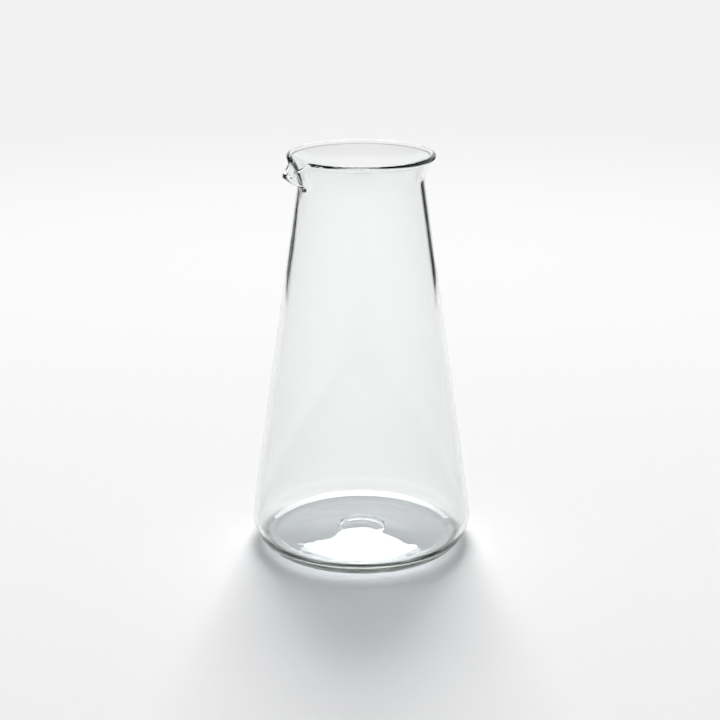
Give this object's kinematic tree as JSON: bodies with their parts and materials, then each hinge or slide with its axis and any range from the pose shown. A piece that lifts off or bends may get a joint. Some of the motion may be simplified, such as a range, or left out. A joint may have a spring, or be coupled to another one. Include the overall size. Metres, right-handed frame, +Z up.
{
  "type": "conical beaker",
  "caption": "Clear glass conical beaker with straight leaning wall, rounded heel, pushed-up bottom, flared beaded mouth and a small drawn-down pouring spout.",
  "frame": {"origin": "middle of the circle that the foot stands on", "axes": "+Z up along the vessel's axis, +X from the axis towards the pouring spout"},
  "size_m": [0.091, 0.091, 0.164],
  "materials": {
    "clear_glass": "polished"
  },
  "bodies": {
    "root": {"base_disc": "clear_glass", "seal_ring": "clear_glass", "heel": "clear_glass", "conical_wall": "clear_glass", "flared_neck": "clear_glass", "rim_bead": "clear_glass", "spout_trough": "clear_glass", "spout_lip": "clear_glass"}
  },
  "joints": []
}
